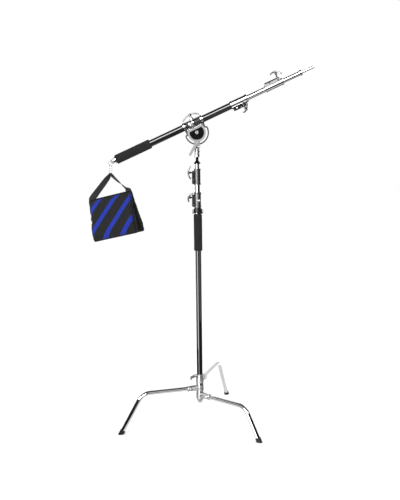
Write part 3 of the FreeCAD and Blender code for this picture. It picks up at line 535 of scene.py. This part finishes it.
def striped(made, side):
    """Blue stripes cut into the outer face, plain cloth between them and darker gussets."""
    home = pouch_frame(side)
    inward = home.inverted()
    made.data.materials.clear()
    for look in ("bag_cloth", "stripe_cloth", "side_cloth"):
        made.data.materials.append(LOOKS[look])
    mesh = bmesh.new()
    mesh.from_mesh(made.data)
    mesh.transform(inward)
    for stripe in range(STRIPES):
        for edge in (-0.5, 0.5):
            out = STRIPE_FIRST + STRIPE_STEP * stripe + STRIPE_WIDTH * edge
            everything = list(mesh.verts) + list(mesh.edges) + list(mesh.faces)
            bmesh.ops.bisect_plane(mesh, geom=everything, dist=0.00001,
                                   plane_co=STRIPE_CORNER + STRIPE_WAY * out, plane_no=STRIPE_WAY)
    mesh.normal_update()
    plain, blue, gusset = range(3)
    for face in mesh.faces:
        middle = face.calc_center_median()
        outer = face.normal.y * side > 0.45 and middle.z < -5 * MM
        reach = (middle - STRIPE_CORNER).dot(STRIPE_WAY) - STRIPE_FIRST + STRIPE_WIDTH / 2
        on_stripe = 0 <= reach and reach % STRIPE_STEP < STRIPE_WIDTH
        face.material_index = (blue if on_stripe else plain) if outer else gusset
        face.smooth = True
    mesh.transform(home)
    mesh.to_mesh(made.data)
    mesh.free()


def stitch(middle, forward, length, radius):
    """One stitch: a short, blunt thread along a direction."""
    half = forward * (length / 2)
    return tube_mesh([middle - half, middle + half], radius, 6)


def along(points, gap):
    """Points and directions at even gaps along a line of points."""
    left = gap / 2
    for start, end in zip(points, points[1:]):
        length = (end - start).length
        way = (end - start).normalized() if length else Vector((1, 0, 0))
        while left < length:
            yield start + way * left, way
            left += gap
        left -= length


def face_outline(half_width, top, bottom, corner):
    """Rounded outline of a pouch's face, in the pouch's frame, with points about 4 mm apart."""
    gap = 4 * MM
    points = []
    corners = ((half_width - corner, top - corner, 0),
               (-half_width + corner, top - corner, 90),
               (-half_width + corner, bottom + corner, 180),
               (half_width - corner, bottom + corner, 270))
    for x, z, start in corners:
        for step in range(7):
            angle = math.radians(start + 15 * step)
            points.append(Vector((x + corner * math.cos(angle), 0, z + corner * math.sin(angle))))
    points.append(points[0])
    fine = []
    for start, end in zip(points, points[1:]):
        parts = max(1, round((end - start).length / gap))
        fine += [start.lerp(end, step / parts) for step in range(parts)]
    return fine


def on_face(tree, side, outline, lift):
    """Outline laid on a pouch's outer face by rays from outside it."""
    home = pouch_frame(side)
    way = (home.to_3x3() @ Vector((0, -side, 0))).normalized()
    outside = 90 * MM
    laid = []
    for point in outline:
        begin = home @ (point + Vector((0, side * outside, 0)))
        hit, normal, _, _ = tree.ray_cast(begin, way)
        if hit is not None:
            laid.append(hit + normal * lift)
    return laid


# Edges of the piping round a pouch's face, in the pouch's frame
PIPING_SIDE = 131 * MM
PIPING_TOP = -5 * MM
PIPING_BOTTOM = -251 * MM


def sand_bag():
    """Two pouches with piping and stitched seams, and the saddle strip that joins their tops."""
    for node, side in (("front_pouch", -1), ("rear_pouch", 1)):
        made = blown_out(node, side)
        smooth = made.modifiers.new("finer", "SUBSURF")
        smooth.levels = smooth.render_levels = 1
        settle(made)
        striped(made, side)
        made.data.shade_smooth()
        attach(made, "bag")
        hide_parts(node)
        tree = BVHTree.FromObject(made, bpy.context.evaluated_depsgraph_get())
        label = "front" if side < 0 else "rear"
        line = face_outline(PIPING_SIDE, PIPING_TOP, PIPING_BOTTOM, 9 * MM)
        edge = on_face(tree, side, line, 0.4 * MM)
        cord = tube_mesh(edge, 1.9 * MM, 8, closed=True)
        gathered(label + "_bag_piping", [cord], "side_cloth", "bag")
        sewn = []
        for inset in (7 * MM, 9.5 * MM):
            line = face_outline(PIPING_SIDE - inset, PIPING_TOP - inset,
                                PIPING_BOTTOM + inset, 6 * MM)
            row = on_face(tree, side, line, 0.3 * MM)
            sewn += [stitch(at, way, 3.2 * MM, 0.45 * MM) for at, way in along(row, 4.6 * MM)]
        gathered(label + "_bag_stitches", sewn, "thread", "bag")
    saddle_strip()


def saddle_strip():
    """Folded cloth over both pouches' tops, slightly puckered along its length."""
    half_width, rise, low_edge = 9.5 * MM, 11 * MM, -9 * MM
    short_of_end, pucker = 14 * MM, 0.8 * MM
    steps, columns = 12, 40
    outline = []
    for step in range(steps + 1):
        angle = math.pi * step / steps
        outline.append(Vector((0, -half_width * math.cos(angle),
                               low_edge + rise * math.sin(angle))))
    vertices, faces = [], []
    for column in range(columns + 1):
        across = (-BAG_WIDTH / 2 + short_of_end
                  + (BAG_WIDTH - 2 * short_of_end) * column / columns)
        sag = pucker * math.sin(column * 1.9)
        vertices += [BAG @ (point + Vector((across, 0, sag))) for point in outline]
        if column:
            low, high = (column - 1) * len(outline), column * len(outline)
            faces += [(low + i, low + i + 1, high + i + 1, high + i)
                      for i in range(len(outline) - 1)]
    strip = piece("bag_saddle_strip", vertices, faces, ["side_cloth"], "bag")
    wall = strip.modifiers.new("wall", "SOLIDIFY")
    wall.thickness = 1.4 * MM


# ------------------------------------------------------------------ strap
def keyed(keys, at):
    """Value at a place between keys of (place, value), eased from each to the next."""
    for (low, first), (high, second) in zip(keys, keys[1:]):
        if at <= high:
            share = max(0, (at - low) / (high - low))
            share = share * share * (3 - 2 * share)
            return first * (1 - share) + second * share
    return keys[-1][1]


def curve_point(ends, at):
    """Point of a cubic curve from its end points and handles."""
    first, pull, push, last = ends
    back = 1 - at
    return (first * back ** 3 + pull * (3 * back * back * at)
            + push * (3 * back * at * at) + last * at ** 3)


def strap_stations():
    """Middle, width direction, width and fold of the webbing, from its left end to its right.

    The left leg faces front and the right one turns edge on, and both bunch up at the link."""
    across = (BAG.to_3x3() @ Vector((1, 0, 0))).normalized()
    up = (BAG.to_3x3() @ Vector((0, 0, 1))).normalized()
    out = LINK_BAR.cross(Vector((0, 0, 1))).normalized()
    bend = 4.8 * MM  # of the webbing's middle round the link's foot
    sewn_down = 18 * MM
    widths = ((0, STRAP_WIDTH), (0.76, STRAP_WIDTH), (0.93, 24 * MM), (1, STRAP_BUNCHED))
    folds = ((0, 0.0), (0.7, 0.0), (0.92, 3.5 * MM), (1, 3 * MM))
    facing = ((0, across), (0.08, across), (0.5, Vector((0.92, 0.25, 0.1))), (1, LINK_BAR))
    edge_on = ((0, -across), (0.06, -across), (0.3, Vector((-0.32, 0.93, -0.1))),
               (0.62, Vector((0.2, 0.95, 0.1))), (1, LINK_BAR))
    steps = 70
    legs = []
    for side, ways in ((-1, facing), (1, edge_on)):
        foot = BAG @ Vector((side * STRAP_FOOT, 0, 2 * MM))
        shoulder = LINK_FOOT + out * (side * bend)
        ends = (foot, foot + up * 8 * MM, shoulder - Vector((0, 0, 14 * MM)), shoulder)
        under = BAG @ Vector((side * STRAP_FOOT, 0, -sewn_down))
        leg = [(under, ways[0][1], STRAP_WIDTH, 0.0)]
        for step in range(steps + 1):
            at = step / steps
            leg.append((curve_point(ends, at), keyed(ways, at),
                        keyed(widths, at), keyed(folds, at)))
        legs.append(leg)
    over = []
    for step in range(1, 12):
        turn = math.pi * step / 12
        middle = (LINK_FOOT + out * (-bend * math.cos(turn))
                  + Vector((0, 0, bend * math.sin(turn))))
        over.append((middle, LINK_BAR, STRAP_BUNCHED, 3 * MM * math.cos(turn) ** 2))
    return legs[0] + over + legs[1][::-1]


def webbing_strap():
    """Flat webbing, bunched where it passes through the link, with stitches along both edges."""
    stations = strap_stations()
    half_thick = 0.9 * MM
    columns = 10
    vertices, faces, sheet, frames = [], [], [], []
    travelled = 0.0
    for index, (middle, way, width, fold) in enumerate(stations):
        before = stations[max(index - 1, 0)][0]
        after = stations[min(index + 1, len(stations) - 1)][0]
        forward = (after - before).normalized()
        way = (way - forward * way.dot(forward)).normalized()
        normal = forward.cross(way)
        travelled += (middle - before).length if index else 0
        frames.append((middle, forward, way, normal, width))
        for face_way in (1, -1):
            for column in range(columns + 1):
                share = (2 * column / columns - 1) * face_way
                lift = normal * (face_way * half_thick + fold * (1 - share * share))
                vertices.append(middle + way * (share * width / 2) + lift)
                sheet.append((share * width / 2, travelled))
    ring = 2 * (columns + 1)
    for row in range(1, len(stations)):
        low, high = (row - 1) * ring, row * ring
        for step in range(ring):
            after = (step + 1) % ring
            faces.append((low + step, low + after, high + after, high + step))
    faces.append(tuple(range(ring)))
    faces.append(tuple(range((len(stations) - 1) * ring, len(stations) * ring))[::-1])
    strap = piece("bag_webbing", vertices, faces, ["webbing"], "bag")
    weave = strap.data.uv_layers.new(name="weave")
    for loop in strap.data.loops:
        weave.data[loop.index].uv = sheet[loop.vertex_index]
    strap.data.set_sharp_from_angle(angle=math.radians(50))
    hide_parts("bag_strap")
    sewn = []
    for share in (-0.43, 0.43):
        for face_way in (1, -1):
            row = [middle + way * (share * width) + normal * (face_way * (half_thick + 0.15 * MM))
                   for middle, forward, way, normal, width in frames if width > 30 * MM]
            sewn += [stitch(at, ahead, 2.8 * MM, 0.4 * MM) for at, ahead in along(row, 4.4 * MM)
                     if ahead.length and (at - LINK_FOOT).length > 60 * MM]
    gathered("bag_webbing_stitches", sewn, "thread", "bag")


# ------------------------------------------------------------------ small parts
def patch_on_column(name, radius, low, high, start, end, look, body):
    """Thin patch wrapped on the column between two heights and two bearings from its front."""
    rows, columns = 2, 16
    vertices, faces = [], []
    for row in range(rows + 1):
        for column in range(columns + 1):
            bearing = math.radians(start + (end - start) * column / columns)
            reach = Vector((math.sin(bearing), -math.cos(bearing), 0)) * radius
            height = low + (high - low) * row / rows
            vertices.append(Vector((COLUMN.x, COLUMN.y, height)) + reach)
            if row and column:
                here = row * (columns + 1) + column
                faces.append((here - columns - 2, here - columns - 1, here, here - 1))
    patch = piece(name, vertices, faces, [look], body)
    wall = patch.modifiers.new("wall", "SOLIDIFY")
    wall.thickness = 0.3 * MM


def screw_head(name, centre, forward, radius, look, body):
    """Domed screw head with a round recess in its middle."""
    outline = [(radius, -0.5 * MM), (radius, 0.6 * MM)]
    for step in range(1, 6):
        turn = math.pi / 2 * step / 6
        outline.append((radius * math.cos(turn), 0.6 * MM + radius * 0.45 * math.sin(turn)))
    outline.append((radius * 0.3, 0.6 * MM + radius * 0.43))
    outline.append((radius * 0.22, 0.2 * MM))
    outline.append((0.0001, 0.2 * MM))
    vertices, faces = lathe(centre, forward, outline, segments=24)
    piece(name, vertices, faces, [look], body)


def collar_screws():
    """The two bright screws that close the accessory collar, at its front."""
    height, collar_radius = 1258.5 * MM, 23 * MM
    for index, bearing in enumerate((-18, -47)):
        turn = math.radians(bearing)
        out = Vector((math.sin(turn), -math.cos(turn), 0))
        centre = Vector((COLUMN.x, COLUMN.y, height)) + out * collar_radius
        screw_head(f"collar_screw_{index + 1}", centre, out, 3 * MM, "chrome", "column")


sand_bag()
webbing_strap()
patch_on_column("blank_label", 19.8 * MM, 1331 * MM, 1339 * MM, -6, 46,
                "label", "column")
collar_screws()


# ------------------------------------------------------------------ floor, light and camera
def floor():
    """Pale floor that runs out of sight."""
    size = 40
    corners = [(-size, -size, 0), (size, -size, 0), (size, size, 0), (-size, size, 0)]
    mesh = bpy.data.meshes.new("studio_floor")
    mesh.from_pydata(corners, [], [(0, 1, 2, 3)])
    ground = bpy.data.objects.new("studio_floor", mesh)
    bpy.context.scene.collection.objects.link(ground)
    look = Shader("pale_floor", Roughness=0.9, Specular_IOR_Level=0.1)
    look.bsdf.inputs["Base Color"].default_value = (0.96, 0.96, 0.96, 1)
    mesh.materials.append(look.material)
    ground.visible_glossy = False


def card(name, corners, strength):
    """Flat or bent card beside the stand that only its shine sees, as a photographer sets one."""
    mesh = bpy.data.meshes.new(name)
    faces = [(row, row + 1, row + 3, row + 2) for row in range(0, len(corners) - 2, 2)]
    mesh.from_pydata(corners, [], faces)
    made = bpy.data.objects.new(name, mesh)
    bpy.context.scene.collection.objects.link(made)
    look = Shader(name, Roughness=1.0, Specular_IOR_Level=0.0, Emission_Strength=strength)
    look.bsdf.inputs["Base Color"].default_value = (0.01, 0.01, 0.01, 1)
    look.bsdf.inputs["Emission Color"].default_value = (1, 1, 1, 1)
    mesh.materials.append(look.material)
    made.visible_camera = False
    made.visible_diffuse = False
    made.visible_shadow = False
    made.visible_transmission = False


def leg_cards():
    """Low black cards just outside the feet, white ones further out and one on the floor."""
    black, white = 0.0, 0.75

    def arc(first, last, reach, low, high):
        """Upright card bent round the stand, between two bearings from its front in degrees."""
        corners = []
        steps = 8
        for step in range(steps + 1):
            angle = math.radians(first + (last - first) * step / steps)
            x, y = reach * math.sin(angle), -reach * math.cos(angle)
            corners += [(x, y, low), (x, y, high)]
        return corners

    card("left_black_card", arc(-150, -34, 0.64, 0.0, 0.3), black)
    card("right_black_card", arc(18, 100, 0.64, 0.0, 0.3), black)
    card("right_white_card", arc(20, 75, 1.5, 0.3, 1.05), white)
    card("left_white_card", arc(-115, -75, 1.5, 0.4, 1.1), white)
    card("back_white_card", arc(115, 170, 1.2, 0.1, 0.9), white)
    side, lift = 0.55, 0.004
    card("floor_card", [(-side, -side, lift), (side, -side, lift),
                        (-side, side, lift), (side, side, lift)], white)


def softbox(name, place, aim, size, power):
    """Rectangular light that doesn't show in what shines."""
    light = bpy.data.lights.new(name, "AREA")
    light.shape = "RECTANGLE"
    light.size, light.size_y = size
    light.energy = power
    lamp = bpy.data.objects.new(name, light)
    bpy.context.scene.collection.objects.link(lamp)
    lamp.location = place
    lamp.rotation_euler = (Vector(aim) - Vector(place)).to_track_quat("-Z", "Y").to_euler()
    lamp.visible_glossy = False


def surroundings():
    """White studio. Only what shines sees panels, dark flags and a dark ceiling in it."""
    world = bpy.data.worlds.new("studio")
    bpy.context.scene.world = world
    world.use_nodes = True
    tree = world.node_tree
    tree.nodes.clear()

    def add(kind, **settings):
        made = tree.nodes.new(kind)
        for label, value in settings.items():
            setattr(made, label, value)
        return made

    def calculate(operation, *values):
        made = add("ShaderNodeMath", operation=operation)
        for slot, value in enumerate(values):
            if isinstance(value, (int, float)):
                made.inputs[slot].default_value = value
            else:
                tree.links.new(value, made.inputs[slot])
        return made.outputs[0]

    def band(value, low, high, soft):
        """1 between two angles in degrees, fading over a few more."""
        rise = add("ShaderNodeMapRange", interpolation_type="SMOOTHSTEP")
        fall = add("ShaderNodeMapRange", interpolation_type="SMOOTHSTEP")
        for made, edge in ((rise, low), (fall, high)):
            made.inputs["From Min"].default_value = math.radians(edge - soft)
            made.inputs["From Max"].default_value = math.radians(edge + soft)
            tree.links.new(value, made.inputs["Value"])
        return calculate("SUBTRACT", rise.outputs[0], fall.outputs[0])

    def blend(factor, under, over):
        return calculate("ADD", calculate("MULTIPLY", factor, over),
                         calculate("MULTIPLY", calculate("SUBTRACT", 1.0, factor), under))

    where = add("ShaderNodeTexCoord")
    split = add("ShaderNodeSeparateXYZ")
    tree.links.new(where.outputs["Generated"], split.inputs[0])
    x, y, z = split.outputs
    bearing = calculate("ARCTAN2", x, calculate("MULTIPLY", y, -1.0))
    height = calculate("ARCSINE", z)
    dark, side_wall, front_wall, back_wall = 0.03, 0.03, 0.6, 0.75
    shade = blend(band(bearing, -88, 88, 6), side_wall, front_wall)
    shade = blend(band(bearing, -128, 128, 6), back_wall, shade)
    back_panel = calculate("MULTIPLY", band(bearing, 136, 160, 3), band(height, -42, 40, 4))
    shade = blend(back_panel, shade, 1.6)
    shade = blend(band(height, 45, 100, 3), shade, dark)
    shade = blend(band(height, -100, -44, 3), shade, dark)
    # Black flags and bright panels: bearings from the front, then heights, in degrees
    for bearings, heights, brightness in (
            ((-15, 102, 4), (-38, -7, 3), 0.02),
            ((11, 102, 3), (-40, 36, 4), 0.02),
            ((-52, -20, 3), (-42, 24, 4), 7.0),
            ((-52, 24, 5), (20, 42, 2), 11.0)):
        patch = calculate("MULTIPLY", band(bearing, *bearings), band(height, *heights))
        shade = blend(patch, shade, brightness)
    path = add("ShaderNodeLightPath")
    fill = blend(path.outputs["Is Camera Ray"], 1.05, 1.0)
    seen = blend(path.outputs["Is Glossy Ray"], fill, shade)
    light = add("ShaderNodeBackground")
    light.inputs["Color"].default_value = (1, 1, 1, 1)
    tree.links.new(seen, light.inputs["Strength"])
    out = add("ShaderNodeOutputWorld")
    tree.links.new(light.outputs[0], out.inputs[0])


def photographer():
    """Camera at standing height, well back, looking slightly down with a touch of roll."""
    lens = bpy.data.cameras.new("camera")
    lens.sensor_width = 36
    lens.lens = 49.23
    lens.clip_end = 200
    camera = bpy.data.objects.new("camera", lens)
    bpy.context.scene.collection.objects.link(camera)
    stand = Matrix.Translation((-0.0068, -4.077, 1.5096))
    tilt = Matrix.Rotation(math.radians(83.34), 4, "X")
    roll = Matrix.Rotation(math.radians(-0.7), 4, "Z")
    camera.matrix_world = stand @ tilt @ roll
    bpy.context.scene.camera = camera


floor()
leg_cards()
surroundings()
softbox("key", (-2.2, -3.0, 3.2), (0, 0, 1.1), (2.4, 2.4), 60)
softbox("rim", (2.6, 1.5, 2.6), (0, 0, 1.2), (1.5, 2.5), 25)
photographer()
bpy.context.scene.view_settings.view_transform = "Standard"
